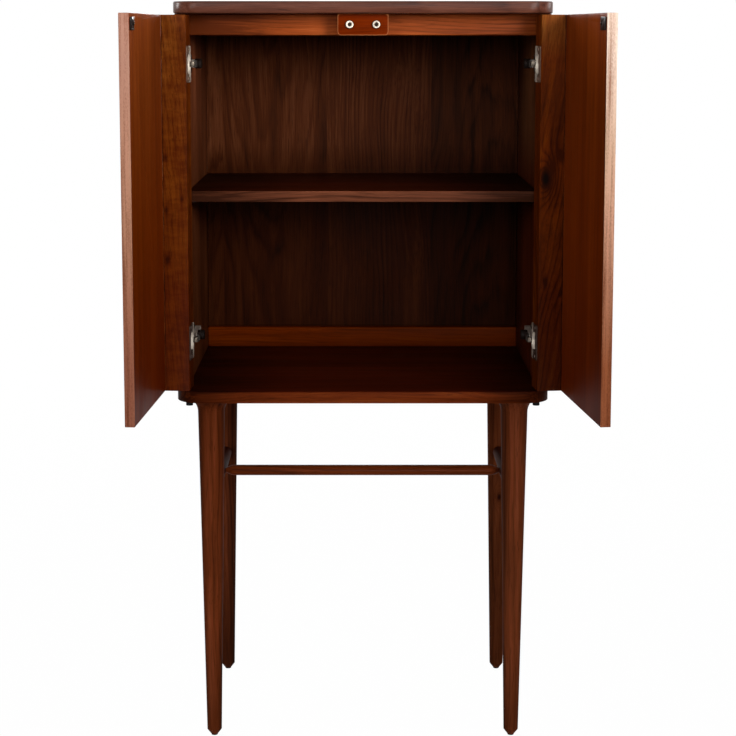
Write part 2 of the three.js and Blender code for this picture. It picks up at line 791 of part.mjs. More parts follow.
// A link from its pin at the origin: straight along u, then hooked round the cup's rim
function makeLink(frame, level) {
  const half = forkWidth * halfShare - play;
  const bottom = level - half;
  const top = level + half;
  const hook = THREE.MathUtils.degToRad(linkHookAngle);
  const tipU = linkLength + linkHookLength * Math.cos(hook);
  const tipV = linkHookLength * Math.sin(hook);
  const shank = taperedBar(0, 0, linkHeadRadius, linkLength, 0, linkKneeRadius);
  const bend = taperedBar(linkLength, 0, linkKneeRadius, tipU, tipV, linkTipRadius);
  const link = join(raise(frame, shank, bottom, top), [raise(frame, bend, bottom, top)]);
  const boreRadius = linkPinRadius + play;
  return cut(link, [barAlongZ(boreRadius, 0, 0, bottom - overrun, top + overrun, smallFacets)]);
}

function makeHinges() {
  for (const { side, name, openAngle } of sides) {
    const frame = planFrame(side, halfWidth, originV);
    const linkFrame = planFrame(side, 0, 0);
    const links = new THREE.Group();
    links.position.set(frame.x(linkPinU), frame.y(linkPinV), 0);
    links.rotation.z = -side * THREE.MathUtils.degToRad(linkClosedAngle + linkTurnShare * openAngle);
    cabinet.add(links);
    for (const [height, level] of Object.entries(hingeLevels)) {
      addPiece(cabinet, `${name}_${height}_hinge_plate`, makePlate(frame, level), nickel);
      addPiece(cabinet, `${name}_${height}_hinge_arm`, makeArm(frame, level), nickel);
      addPiece(cabinet, `${name}_${height}_hinge_cam`, makeCam(frame, side, level), blackPlastic);
      addPiece(links, `${name}_${height}_hinge_link`, makeLink(linkFrame, level), nickel);
    }
  }
}

makeBoards();
makeSidePanels();
makeInside();
makeCatches();
makeLegs();
makeFootRail();
makeStuds();
makeDoors();
makeHinges();

export default cabinet;
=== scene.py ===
import math
from collections import namedtuple

import bpy
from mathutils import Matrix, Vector


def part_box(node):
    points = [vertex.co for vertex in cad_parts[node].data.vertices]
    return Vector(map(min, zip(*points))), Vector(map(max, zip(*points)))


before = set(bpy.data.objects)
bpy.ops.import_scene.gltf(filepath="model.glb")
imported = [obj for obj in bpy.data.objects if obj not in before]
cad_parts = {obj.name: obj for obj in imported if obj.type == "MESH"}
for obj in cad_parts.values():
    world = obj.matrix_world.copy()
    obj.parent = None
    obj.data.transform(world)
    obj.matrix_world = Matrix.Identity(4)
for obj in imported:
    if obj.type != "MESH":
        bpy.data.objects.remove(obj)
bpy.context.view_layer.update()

# A dark mark or knot in the wood, what lies beyond a limit on one axis, and shades by
# height that hold on one side of a piece, with another shade elsewhere
Mark = namedtuple("Mark", "place reach depth")
Side = namedtuple("Side", "axis limit above")
Fade = namedtuple("Fade", "stops side elsewhere", defaults=(None, None))

# Camera, in the part's own frame
CAMERA_PLACE = Vector((-0.0089, -2.7555, 1.1584))
CAMERA_DIP = math.radians(6.864)
SENSOR_WIDTH = 0.036
IMAGE_PIXELS = 736
FOCAL_PIXELS = 1703.2
AXIS_PIXEL = (357.3, 238.8)

# Colours of light, and the lamps: place, target, width, spread in degrees, power in
# watts and colour
WARM = (1.0, 0.98, 0.95)
SOFT = (1.0, 0.98, 0.96)
PLAIN = (1.0, 1.0, 1.0)
LAMPS = {
    "key_lamp": (Vector((1.2, -2.0, 1.65)), Vector((0.0, 0.0, 1.6)), 1.0, 50.0, 7.1, WARM),
    "fill_lamp": (Vector((-1.2, -2.1, 1.6)), Vector((0.0, 0.0, 1.55)), 1.0, 50.0, 2.5, SOFT),
    "front_lamp": (Vector((0.1, -2.6, 1.7)), Vector((0.0, 0.0, 1.55)), 1.1, 50.0, 1.45, SOFT),
    "leg_lamp": (Vector((0.2, -2.8, 0.4)), Vector((0.0, 0.0, 0.08)), 0.5, 32.0, 1.9, WARM),
    "back_lamp": (Vector((0.0, 2.8, 1.5)), Vector((0.0, 0.3, 1.4)), 0.8, 42.0, 4.5, PLAIN),
    "left_lamp": (Vector((-2.6, 0.8, 1.6)), Vector((-0.3, 0.1, 1.5)), 0.8, 40.0, 2.2, PLAIN),
    "right_lamp": (Vector((2.6, 0.8, 1.6)), Vector((0.3, 0.1, 1.5)), 0.8, 40.0, 2.2, PLAIN),
}

# The world as light, and the floor: its size, its tones, how far the camera sees it as
# white, and where it goes over into the world
WORLD_STRENGTH = 0.07
FLOOR_SIZE = 60.0
FLOOR_TONES = ("f4f4f4", "f8f8f8")
FLOOR_CLEARNESS = 0.993
SHADOW_REACH = (0.9, 3.0)

# Rounding of edges
BOARD_EDGE = 0.0026
RAIL_EDGE = 0.0022
DOOR_EDGE = 0.0012
METAL_EDGE = 0.00025
WELD_REACH = 0.00001
FLAT_ANGLE = math.radians(1.0)
SHARP_ANGLE = math.radians(32.0)

# Which of x, y and z run across the grain twice, and then along it
GRAIN_ORDER = {"X": (1, 2, 0), "Y": (0, 2, 1), "Z": (0, 1, 2)}

# Noise scales of the wood, across the grain twice, and then along it
SWAY_SCALE = (7.0, 7.0, 2.2)
RING_DRIFT_SCALE = (26.0, 26.0, 3.0)
RING_STRENGTH_SCALE = (30.0, 30.0, 1.6)
BROAD_SCALE = (14.0, 14.0, 0.9)
STREAK_SCALE = (85.0, 85.0, 2.4)
FIBRE_SCALE = (520.0, 520.0, 11.0)
PORE_SCALE = (900.0, 900.0, 26.0)
CURL_SCALE = (26.0, 26.0, 62.0)
WEAR_SCALE = (11.0, 11.0, 11.0)
SPECK_SCALE = (700.0, 700.0, 330.0)
VEIN_SCALE = (260.0, 260.0, 7.0)
SEAM_WAVER_SCALE = (240.0, 240.0, 40.0)
SEAM_WEIGHT_SCALE = (9.0, 9.0, 9.0)

# Noise scales of metal and plastic
PATCH_SCALE = (90.0, 90.0, 90.0)
BRUSH_SCALE = (2600.0, 2600.0, 130.0)
PEBBLE_SCALE = (1500.0, 1500.0, 1500.0)
SCUFF_SCALE = (160.0, 160.0, 160.0)

# Heights of the fine bumps on wood, metal and plastic
WOOD_BUMP = 0.00008
METAL_BUMP = 0.00002
PLASTIC_BUMP = 0.00006

# One growth ring from edge to edge, how unevenly rings follow, and the tones at which
# a wood is at its dark, middle and light colour
RING_PROFILE = ((0.0, 0.25), (0.14, 0.0), (0.55, 0.22), (0.86, 1.0), (1.0, 0.25))
RING_DRIFT = 2.6
TONE_STOPS = (0.15, 0.48, 0.82)

# Shares of a wood's streaks and fibres that its noises swing the tone by
BROAD_SHARE = 0.35
STREAK_SHARE = 0.5
FIBRE_SHARE = 0.5

# The back panel's planks: width, where they start, how far their hearts wander, how
# much their tones differ, and the step along the trunk from one to the next
PLANK_WIDTH = 0.189
PLANK_SHIFT = 0.064
PLANK_SPREAD = 0.05
PLANK_TONE = 0.1
PLANK_STEP = 3.7

# Knots: how many rings one pushes out, its dark core, and how it shades what is round it
KNOT_TURNS = 4.0
KNOT_CORE_SHARE = 0.36
KNOT_CORE_TONE = 0.7
KNOT_TONE = 0.1
KNOT_COLOUR = "0d0408"
KNOT_COVER = 0.95
POST_KNOT = Mark(Vector((0.2877, -0.0862, 0.932)), 0.016, 1.3)
LEG_KNOT = Mark(Vector((0.2474, 0.2474, 0.3265)), 0.008, 0.5)

# Lean, slant, curl and ring strength of the posts' grain, and their dark marks
POST_GRAIN = {
    "left": ((0.03, 0.02), 0.06, 0.14, 0.16),
    "right": ((0.02, 0.05), -0.12, 0.03, 0.32),
}
POST_MARKS = {
    "left": [Mark(Vector((-0.3105, -0.0842, 0.882)), 0.0035, 0.5),
             Mark(Vector((-0.3085, -0.0842, 0.803)), 0.004, 0.5),
             Mark(Vector((-0.285, -0.0856, 0.9)), 0.003, 0.35),
             Mark(Vector((-0.311, -0.0842, 0.965)), 0.003, 0.4)],
    "right": [Mark(Vector((0.311, -0.0831, 0.968)), 0.004, 0.6),
              Mark(Vector((0.299, -0.0843, 0.95)), 0.005, 0.3),
              Mark(Vector((0.288, -0.0856, 0.768)), 0.004, 0.5),
              Mark(Vector((0.314, -0.0828, 0.75)), 0.003, 0.5)],
}

# The glue line between each door's panel and post: a dark line, and a painted highlight beside it
SEAM_PLACES = {"left": -0.3146, "right": 0.3162}
SEAM_WAVER = 0.0005
SEAM_WIDTH = 0.0011
SEAM_TONE = "1d0806"
SEAM_HIGHLIGHT_SHIFT = 0.0009
SEAM_HIGHLIGHT_WIDTH = 0.0005
SEAM_HIGHLIGHT_TONE = "a06a58"

# Wood tones, dark, middle and light
TOP_TONES = ("26100a", "512b1e", "6d4333")
BASE_TONES = ("351304", "6e2d0f", "914619")
# Painted shade: the base board's top, darker tones of the same wood
BASE_TOP_SHADE_TONES = ("2b0c03", "561d09", "702b11")
SHELF_TONES = ("3b1d10", "79442d", "a1684f")
# Painted shade: the shelf's top, darker tones of the same wood
SHELF_TOP_SHADE_TONES = ("170401", "371003", "4c1b06")
CASE_TONES = ("2a1209", "5f311d", "854d34")
BACK_TONES = ("251209", "4b2411", "6f3f25")
FRONT_RAIL_TONES = ("512109", "8b4018", "b56835")
REAR_RAIL_TONES = ("3c1500", "682500", "853b00")
BLOCK_TONES = ("411000", "621d00", "792e02")
# A painted highlight along the catch block's rim
BLOCK_RIM_HIGHLIGHT_TONE = "a3633a"
BAR_TONES = ("351507", "5e270d", "803c1a")
STRETCHER_TONES = ("260f05", "43190a", "5c2a12")
LEG_TONES = {
    "front_left_leg": ("3c1b0b", "6f3318", "954d2e"),
    "front_right_leg": ("3e1e0f", "71371d", "985337"),
    "rear_left_leg": ("32170b", "5e2c17", "7e442d"),
    "rear_right_leg": ("4c2615", "8a4727", "b86845"),
}
PANEL_TONES = {"left": ("541f09", "7d360f", "994a1b"), "right": ("5d2005", "88360a", "a64b14")}
POST_TONES = {"left": ("3a1605", "612b08", "824816"), "right": ("451e04", "7d3d0e", "a7631e")}
PALE_TONES = {"left": ("ab6b49", "e0a47e"), "right": ("b37662", "ffcdbc")}

# Shades that a wood is multiplied by at a few heights, lowest first, as the light in
# the photo falls off. They hold on the faces that the photo shows: inward of the middle
# of a side panel, and in front of the middle of the back and of the posts' rear
MIDDLE_OF_SIDE = 0.29
MIDDLE_OF_BACK = 0.336
REAR_OF_POST = -0.08
SIDE_FADES = {
    "left": Fade([(0.6, (1.0, 0.95, 0.6)), (1.15, (1.0, 1.0, 1.0))],
                 Side(0, -MIDDLE_OF_SIDE, True), (1.0, 1.0, 1.0)),
    "right": Fade([(0.6, (0.58, 0.35, 0.25)), (0.9, (0.58, 0.35, 0.23)), (1.0, (0.99, 1.2, 1.08))],
                  Side(0, MIDDLE_OF_SIDE, False), (1.0, 1.0, 1.0)),
}
BACK_FADE = Fade([(0.6, (0.37, 0.29, 0.17)), (0.9, (0.43, 0.34, 0.2)), (0.96, (0.9, 0.9, 0.9)),
                  (1.15, (1.0, 1.0, 1.0))], Side(1, MIDDLE_OF_BACK, False), (0.9, 0.9, 0.9))
LEG_FADE = Fade([(0.04, (0.62, 0.62, 0.62)), (0.2, (0.97, 0.97, 0.97)), (0.36, (1.0, 1.0, 1.0)),
                 (0.52, (0.84, 0.8, 0.76))])
PANEL_FADES = {
    "left": Fade([(0.62, (0.87, 0.54, 0.08)), (0.85, (1.0, 0.82, 0.18)), (1.07, (0.97, 1.0, 0.9)),
                  (1.15, (0.93, 1.0, 1.0))]),
    "right": Fade([(0.62, (0.63, 0.49, 0.31)), (0.85, (0.96, 0.94, 0.7)), (1.07, (0.75, 0.79, 0.54))]),
}
POST_FADES = {
    "left": Fade([(0.66, (0.86, 0.54, 0.14)), (0.74, (0.84, 0.5, 0.2)), (0.85, (1.05, 0.85, 0.45)),
                  (1.0, (0.88, 0.72, 0.5)), (1.14, (1.0, 1.0, 1.0))],
                 Side(1, REAR_OF_POST, False), (0.9, 0.72, 0.4)),
    "right": Fade([(0.64, (0.29, 0.18, 0.08)), (0.74, (0.44, 0.27, 0.11)), (0.85, (0.67, 0.49, 0.14)),
                   (0.96, (0.8, 0.54, 0.16)), (1.04, (0.55, 0.39, 0.07)), (1.12, (0.68, 0.48, 0.17)),
                   (1.165, (0.8, 0.87, 1.0))],
                  Side(1, REAR_OF_POST, False), (0.6, 0.42, 0.2)),
}
PALE_FADES = {
    "left": Fade([(0.68, (0.78, 0.57, 0.6)), (0.76, (0.86, 0.7, 0.74)), (0.88, (0.9, 0.89, 1.0)),
                  (0.99, (0.83, 0.83, 0.98)), (1.12, (0.66, 0.68, 0.88))]),
    "right": Fade([(0.68, (0.58, 0.3, 0.15)), (0.76, (0.73, 0.5, 0.33)), (0.88, (0.87, 0.77, 0.63)),
                   (0.99, (0.73, 0.76, 0.64)), (1.12, (0.78, 1.0, 1.0))]),
}

# Drifts of tone: the axis, where the drift is full, where it ends, and how much it is
# Painted shade: the base board and shelf darker at both ends and the front rail at its left end, where
# the open doors shade them, and each leg darker on its side towards the cabinet's middle. The back
# panel's drift makes it lighter towards the left
BASE_END_SHADES = ((0, -0.27, -0.12, -0.3), (0, 0.27, 0.16, -0.3))
SHELF_END_SHADES = ((0, -0.26, -0.1, -0.3), (0, 0.27, 0.14, -0.3))
BACK_DRIFTS = ((0, -0.28, -0.04, 0.12),)
RAIL_END_SHADE = ((0, -0.27, -0.08, -0.5),)
LEG_INNER_SHADES = {
    "front_left_leg": (0, -0.231, -0.245, -0.2),
    "front_right_leg": (0, 0.231, 0.24, -0.12),
    "rear_left_leg": (0, -0.231, -0.242, -0.26),
    "rear_right_leg": (0, 0.232, 0.24, -0.2),
}

# How deep the doors' pale ends and the painted shade on the base board's and shelf's tops reach, the
# catch block's corners and the width of the painted highlight along its rim, and where the hearts of the
# trunks lie that the side panels and legs are cut from, for the legs as shifts off their axes
BASE_TOP_DEPTH = 0.0012
SHELF_TOP_DEPTH = 0.0006
PALE_DEPTH = 0.0018
BLOCK_CORNER = 0.006
BLOCK_RIM_HIGHLIGHT_WIDTH = 0.0013
SIDE_HEARTS = {"left": (-0.33, 0.1), "right": (0.33, 0.1)}
LEG_HEART_SHIFT = (0.03, 0.012)

# Metals, bright and dull, and plastics, dark and light
ARM_NICKEL = ("e6dccf", "c4bbae")
CUP_NICKEL = ("dfd3c4", "c8bcad")
MAGNET_NICKEL = ("bdb3a7", "94897e")
LINK_STEEL = ("6b6258", "3c352f")
PIN_STEEL = ("5a5048", "3c352f")
# Hinge plates: dark steel, as painted shade
PLATE_SHADED_STEEL = ("4c443c", "2b2622")
SCREW_STEEL = ("332c27", "1c1714")
# Strike plates: near black, as painted shade
STRIKE_SHADED_STEEL = ("1f1a17", "110e0c")
CAM_PLASTIC = ("110b09", "231814")
PAD_PLASTIC = ("0a0909", "171515")

# The hinge arms get painted shade nearer the cabinet's middle than the first place, and the cups painted
# shadow in front of their own places and outside the rim. The magnets' rims get a ring of painted shade
ARM_SHADE_LIMIT = 0.2692
ARM_SHADE_TONE = "2a221d"
CUP_SHADOWS = {"upper": (-0.0655, "6e5546"), "lower": (-0.0575, "3d2a20")}
CUP_RIM = 0.277
MAGNET_RIM_SHADE_WIDTH = 0.0008
MAGNET_RIM_SHADE_TONE = "2b1a12"


def linear(hex_colour):
    """A colour written as on screen, as linear red, green, blue and alpha."""
    parts = [int(hex_colour[i:i + 2], 16) / 255 for i in (0, 2, 4)]
    return [c / 12.92 if c <= 0.04045 else ((c + 0.055) / 1.055) ** 2.4 for c in parts] + [1.0]


class Graph:
    """A material's nodes, with short calls that add one and link its inputs."""

    def __init__(self, name):
        self.material = bpy.data.materials.new(name)
        self.material.use_nodes = True
        self.tree = self.material.node_tree
        self.shader = self.tree.nodes["Principled BSDF"]

    def feed(self, node, inputs):
        for key, value in inputs.items():
            socket = node.inputs[key]
            if isinstance(value, bpy.types.NodeSocket):
                self.tree.links.new(value, socket)
            else:
                socket.default_value = value

    def add(self, kind, inputs=None, **settings):
        node = self.tree.nodes.new(kind)
        for key, value in settings.items():
            setattr(node, key, value)
        self.feed(node, inputs or {})
        return node

    def math(self, operation, a, b=0.0):
        return self.add("ShaderNodeMath", {0: a, 1: b}, operation=operation).outputs[0]

    def plus(self, *values):
        total = values[0]
        for value in values[1:]:
            total = self.math("ADD", total, value)
        return total

    def minus(self, a, b):
        return self.math("SUBTRACT", a, b)

    def times(self, a, b):
        return self.math("MULTIPLY", a, b)

    def vector(self, operation, a, b=(0.0, 0.0, 0.0)):
        return self.add("ShaderNodeVectorMath", {0: a, 1: b}, operation=operation).outputs[0]

    def length(self, a):
        return self.add("ShaderNodeVectorMath", {0: a}, operation="LENGTH").outputs["Value"]

    def noise(self, place, scale=1.0, detail=2.0, roughness=0.5):
        inputs = {"Vector": place, "Scale": scale, "Detail": detail, "Roughness": roughness}
        return self.add("ShaderNodeTexNoise", inputs).outputs["Fac"]

    def stretch(self, place, scale, offset=(0.0, 0.0, 0.0)):
        inputs = {"Vector": place, "Scale": scale, "Location": offset}
        return self.add("ShaderNodeMapping", inputs).outputs[0]

    def ramp(self, value, stops):
        node = self.add("ShaderNodeValToRGB", {"Fac": value})
        elements = node.color_ramp.elements
        while len(elements) < len(stops):
            elements.new(0.5)
        for element, (position, colour) in zip(elements, stops):
            element.position = position
            element.color = colour if len(colour) == 4 else (*colour, 1.0)
        return node.outputs["Color"]

    def grey(self, value, low, high, from_low=0.0, from_high=1.0):
        inputs = {"Value": value, "From Min": from_low, "From Max": from_high,
                  "To Min": low, "To Max": high}
        return self.add("ShaderNodeMapRange", inputs).outputs[0]

    def swing(self, value, amount, from_low=0.25, from_high=0.75):
        """From minus an amount to that amount, as a value goes from low to high."""
        return self.grey(value, -amount, amount, from_low, from_high)

    def mix(self, share, first, second, blend="MIX"):
        node = self.add("ShaderNodeMix", data_type="RGBA", blend_type=blend)
        self.feed(node, {0: share, 6: first, 7: second})
        return node.outputs[2]

    def bump(self, height, distance, strength=1.0):
        inputs = {"Height": height, "Distance": distance, "Strength": strength}
        return self.add("ShaderNodeBump", inputs).outputs[0]

    def parts(self, place):
        return self.add("ShaderNodeSeparateXYZ", {0: place}).outputs

    def join(self, x, y, z):
        return self.add("ShaderNodeCombineXYZ", {0: x, 1: y, 2: z}).outputs[0]

    def place(self):
        return self.add("ShaderNodeTexCoord").outputs["Object"]

    def finish(self, colour, roughness, normal, **fixed):
        self.feed(self.shader, {"Base Color": colour, "Roughness": roughness, "Normal": normal})
        for key, value in fixed.items():
            self.shader.inputs[key.replace("_", " ")].default_value = value
        return self.material


def on_side(g, raw, side):
    """One on a side of a piece, and nothing elsewhere."""
    return g.math("GREATER_THAN" if side.above else "LESS_THAN", raw[side.axis], side.limit)


def nearness(g, place, mark, share=1.0):
    """One at a mark, falling smoothly to nothing round it, twice as far along the grain."""
    away = g.stretch(g.vector("SUBTRACT", place, mark.place), (1.0, 1.0, 0.5))
    distance = g.math("DIVIDE", g.length(away), mark.reach * share)
    return g.math("POWER", math.e, g.times(g.times(distance, distance), -1.0))


def lay_planks(g, across, seed):
    """The number of the plank at a place, where its trunk's heart is, and its own tone."""
    number = g.math("FLOOR", g.math("DIVIDE", g.plus(across, PLANK_SHIFT), PLANK_WIDTH))
    chance = g.add("ShaderNodeTexWhiteNoise", {"W": g.plus(number, seed)}, noise_dimensions="1D")
    middle = g.minus(g.times(g.plus(number, 0.5), PLANK_WIDTH), PLANK_SHIFT)
    heart = g.plus(middle, g.grey(chance.outputs["Value"], -PLANK_SPREAD, PLANK_SPREAD))
    own_tone = g.grey(g.parts(chance.outputs["Color"])[1], -PLANK_TONE, PLANK_TONE)
    right_tone = g.times(g.math("GREATER_THAN", number, 0.5), -PLANK_TONE)
    return number, heart, g.plus(own_tone, right_tone)


def make_waver(g, grain, wobble, start):
    """Moves places across the grain, so that its lines wander."""
    inputs = {"Vector": g.stretch(grain, SWAY_SCALE, start), "Scale": 1.0, "Detail": 2.0}
    sway = g.add("ShaderNodeTexNoise", inputs).outputs["Color"]
    sway = g.vector("SUBTRACT", sway, (0.5, 0.5, 0.5))
    return g.vector("ADD", grain, g.vector("MULTIPLY", sway, (wobble * 4, wobble * 4, 0.0)))


def growth_rings(g, grain, along, start, heart, lean, spacing, blemish):
    """Rings round the heart of a leaning trunk, strong in some places and faint in others."""
    off_heart = g.vector("SUBTRACT", grain, g.join(heart[0], heart[1], along))
    tilt = g.join(g.times(along, lean[0]), g.times(along, lean[1]), 0.0)
    radius = g.length(g.vector("MULTIPLY", g.vector("ADD", off_heart, tilt), (1.0, 1.0, 0.0)))
    uneven = g.noise(g.stretch(grain, RING_DRIFT_SCALE, start), detail=3.0)
    turns = g.plus(g.math("DIVIDE", radius, spacing), g.times(blemish, KNOT_TURNS),
                   g.times(uneven, RING_DRIFT))
    ring = g.ramp(g.math("FRACT", turns), [(at, (level, level, level)) for at, level in RING_PROFILE])
    strength = g.noise(g.stretch(grain, RING_STRENGTH_SCALE, start), detail=2.0)
    return g.times(ring, g.grey(strength, 0.1, 1.0, 0.35, 0.65))


def toned(g, tone, tones):
    """The colour that a tone has between a wood's dark, middle and light ones."""
    return g.ramp(tone, list(zip(TONE_STOPS, [linear(t) for t in tones])))


def fade_by_height(g, colour, raw, fade):
    """Multiplies a colour by shades that are set at a few heights, on one side if asked."""
    low, high = fade.stops[0][0], fade.stops[-1][0]
    share = g.grey(raw[2], 0.0, 1.0, low, high)
    shade = g.ramp(share, [((level - low) / (high - low), tint) for level, tint in fade.stops])
    if fade.side:
        shade = g.mix(on_side(g, raw, fade.side), (*fade.elsewhere, 1.0), shade)
    return g.mix(1.0, colour, shade, "MULTIPLY")


def seam_mask(g, place, raw, middle, width):
    """One along a wavering line where two boards are glued, and nothing away from it; it also places the
    painted highlight beside that line.
    """
    waver = g.noise(g.stretch(place, SEAM_WAVER_SCALE), detail=3.0, roughness=0.7)
    weight = g.noise(g.stretch(place, SEAM_WEIGHT_SCALE), detail=2.0)
    spot = g.plus(raw[0], g.swing(waver, SEAM_WAVER, 0.3, 0.7))
    away = g.math("ABSOLUTE", g.minus(spot, middle))
    return g.times(g.grey(away, 1.0, 0.0, width * 0.4, width * 0.7),
                   g.grey(weight, 0.45, 1.0, 0.35, 0.6))


def rim_mask(g, raw, low, high):
    """One in a band along the outline of the catch block, seen from the front, where the painted
    highlight goes.
    """
    half = (high - low) / 2
    middle = (high + low) / 2
    out_x = g.minus(g.math("ABSOLUTE", g.minus(raw[0], middle.x)), half.x - BLOCK_CORNER)
    out_z = g.minus(g.math("ABSOLUTE", g.minus(raw[2], middle.z)), half.z - BLOCK_CORNER)
    outside = g.vector("MAXIMUM", g.join(out_x, out_z, 0.0))
    return g.grey(g.length(outside), 0.0, 0.8, BLOCK_CORNER - BLOCK_RIM_HIGHLIGHT_WIDTH, BLOCK_CORNER - BLOCK_RIM_HIGHLIGHT_WIDTH / 2)


def pale_wood(g, place, raw, tones, fade):
    """The pale end wood of a door, with fine specks and veins, and painted light towards the top."""
    specks = g.noise(g.stretch(place, SPECK_SCALE), detail=2.0, roughness=0.7)
    veins = g.noise(g.stretch(place, VEIN_SCALE), detail=2.0)
    # Painted light: the pale end lighter towards the top
    light_towards_top = g.grey(raw[2], -0.05, 0.03, 0.6, 1.1)
    tone = g.plus(g.swing(specks, 0.16, 0.2, 0.8), veins, light_towards_top)
    dark, light = [linear(t) for t in tones]
    return fade_by_height(g, g.ramp(tone, [(0.22, dark), (0.6, light)]), raw, fade)


def satin(g, place, colour, fibres, pores, start, gloss, shine):
    """Finishes a wood with worn satin lacquer over its fibres and open pores."""
    worn = g.noise(g.stretch(place, WEAR_SCALE, start), detail=4.0, roughness=0.6)
    roughness = g.plus(g.swing(worn, 0.07), g.grey(fibres, gloss - 0.04, gloss + 0.05))
    height = g.minus(g.times(fibres, 0.4), g.times(pores, 0.8))
    return g.finish(colour, roughness, g.bump(height, WOOD_BUMP, 0.5), Specular_IOR_Level=shine)


def wood(name, axis, tones, seed, heart=(0.05, 0.03), lean=(0.0, 0.0), slant=0.0, spacing=0.006,
         wobble=0.01, planks=False, rings=0.3, streaks=0.3, fibre=0.22, curl=0.0, drifts=(),
         knot=None, marks=(), faces=(), seams=(), rim_highlight=None, fade=None, pale_end=None,
         gloss=0.42, shine=0.035):
    """Walnut cut from a leaning, wavering trunk: rings, colour streaks, fibres and pores."""
    g = Graph(name)
    place = g.place()
    raw = g.parts(place)
    across, depth, along = [raw[i] for i in GRAIN_ORDER[axis]]
    start = (seed * 1.37, seed * 0.73, seed * 0.41)

    # Where a place lies in the trunk
    plank_tone = 0.0
    if planks:
        number, plank_heart, plank_tone = lay_planks(g, across, seed)
        heart = (plank_heart, heart[1])
        along = g.plus(along, g.times(number, PLANK_STEP))
    if slant:
        across = g.plus(across, g.times(along, slant))
        depth = g.plus(depth, g.times(along, slant))
    grain = make_waver(g, g.join(across, depth, along), wobble, start)
    blemish = nearness(g, place, knot) if knot else 0.0

    # Its tone, from dark to light
    ring = growth_rings(g, grain, along, start, heart, lean, spacing, blemish)
    broad = g.noise(g.stretch(grain, BROAD_SCALE, start), detail=2.0)
    streak = g.noise(g.stretch(grain, STREAK_SCALE, start), detail=3.0, roughness=0.55)
    fibres = g.noise(g.stretch(grain, FIBRE_SCALE, start), detail=3.0, roughness=0.6)
    tone = g.plus(0.5, plank_tone, g.swing(broad, BROAD_SHARE * streaks, 0.3, 0.7),
                  g.swing(streak, STREAK_SHARE * streaks), g.swing(fibres, FIBRE_SHARE * fibre),
                  g.times(ring, -rings))
    # Drifts: painted shade towards the ends of the boards and rail and on the legs' inner sides, and the
    # back panel lighter towards the left
    for which, full, end, amount in drifts:
        tone = g.plus(tone, g.grey(raw[which], amount, 0.0, full, end))
    if curl:
        figure = g.noise(g.stretch(grain, CURL_SCALE, start), detail=3.5, roughness=0.68)
        tone = g.plus(tone, g.swing(figure, curl, 0.3, 0.7))
    if knot:
        core = nearness(g, place, knot, KNOT_CORE_SHARE)
        tone = g.minus(tone, g.times(core, knot.depth * KNOT_CORE_TONE))
        tone = g.minus(tone, g.times(blemish, KNOT_TONE))
    for mark in marks:
        tone = g.minus(tone, g.times(nearness(g, place, mark), mark.depth))

    # Its colour, with what differs in some places and on some faces
    pores = g.noise(g.stretch(grain, PORE_SCALE, start), detail=1.0)
    pores = g.grey(pores, 0.0, 0.6, 0.6, 0.72)
    colour = g.mix(pores, toned(g, tone, tones), linear(tones[0]))
    if knot:
        cover = g.math("MINIMUM", g.times(core, knot.depth), KNOT_COVER)
        colour = g.mix(cover, colour, linear(KNOT_COLOUR))
    # Painted shade: darker tones on the tops of the base board and shelf
    for side, top_shade_tones in faces:
        colour = g.mix(on_side(g, raw, side), colour, toned(g, tone, top_shade_tones))
    # Glue lines: a dark line, and a painted highlight beside it
    for middle, width, seam_tone in seams:
        colour = g.mix(seam_mask(g, place, raw, middle, width), colour, linear(seam_tone))
    # A painted highlight along the catch block's rim
    if rim_highlight:
        colour = g.mix(rim_mask(g, raw, *rim_highlight), colour, linear(BLOCK_RIM_HIGHLIGHT_TONE))
    if fade:
        colour = fade_by_height(g, colour, raw, fade)
    if pale_end:
        side, pale_tones, pale_fade = pale_end
        colour = g.mix(on_side(g, raw, side), colour, pale_wood(g, place, raw, pale_tones, pale_fade))
    return satin(g, place, colour, fibres, pores, start, gloss, shine)


def from_middle(g, raw):
    """How far to the left or right of the cabinet's middle a place is."""
    return g.math("ABSOLUTE", raw[0])


def plated(name, tones, gloss, seed, metal=1.0, tip_shade=None, shadow=None, ring=None):
    """Plated metal: fine brushing and dull patches, with painted shade on a tip, a front or a rim if
    asked.
    """
    g = Graph(name)
    place = g.place()
    raw = g.parts(place)
    patches = g.noise(g.stretch(place, PATCH_SCALE, (seed, seed, seed)), detail=3.0)
    brushing = g.noise(g.stretch(place, BRUSH_SCALE), detail=2.0)
    bright, dull = [linear(t) for t in tones]
    shade = g.ramp(patches, [(0.3, dull), (0.6, bright)])
    # Painted shade on a hinge arm's tip, nearer the cabinet's middle
    if tip_shade:
        shade = g.mix(g.math("LESS_THAN", from_middle(g, raw), tip_shade), shade, linear(ARM_SHADE_TONE))
    # Painted shadow on a cup in front of its place and outside the rim
    if shadow:
        limit, shadow_tone = shadow
        in_front = g.math("LESS_THAN", raw[1], limit)
        past_rim = g.math("GREATER_THAN", from_middle(g, raw), CUP_RIM)
        shade = g.mix(g.math("MAXIMUM", in_front, past_rim), shade, linear(shadow_tone))
    # Painted shade in a ring round a magnet's rim
    if ring:
        middle, inner_radius = ring
        out_x = g.minus(from_middle(g, raw), middle.x)
        away = g.length(g.join(out_x, 0.0, g.minus(raw[2], middle.z)))
        shade = g.mix(g.math("GREATER_THAN", away, inner_radius), shade, linear(MAGNET_RIM_SHADE_TONE))
    roughness = g.plus(g.grey(patches, -0.05, 0.09), g.grey(brushing, gloss - 0.04, gloss + 0.05))
    return g.finish(shade, roughness, g.bump(brushing, METAL_BUMP, 0.3), Metallic=metal)


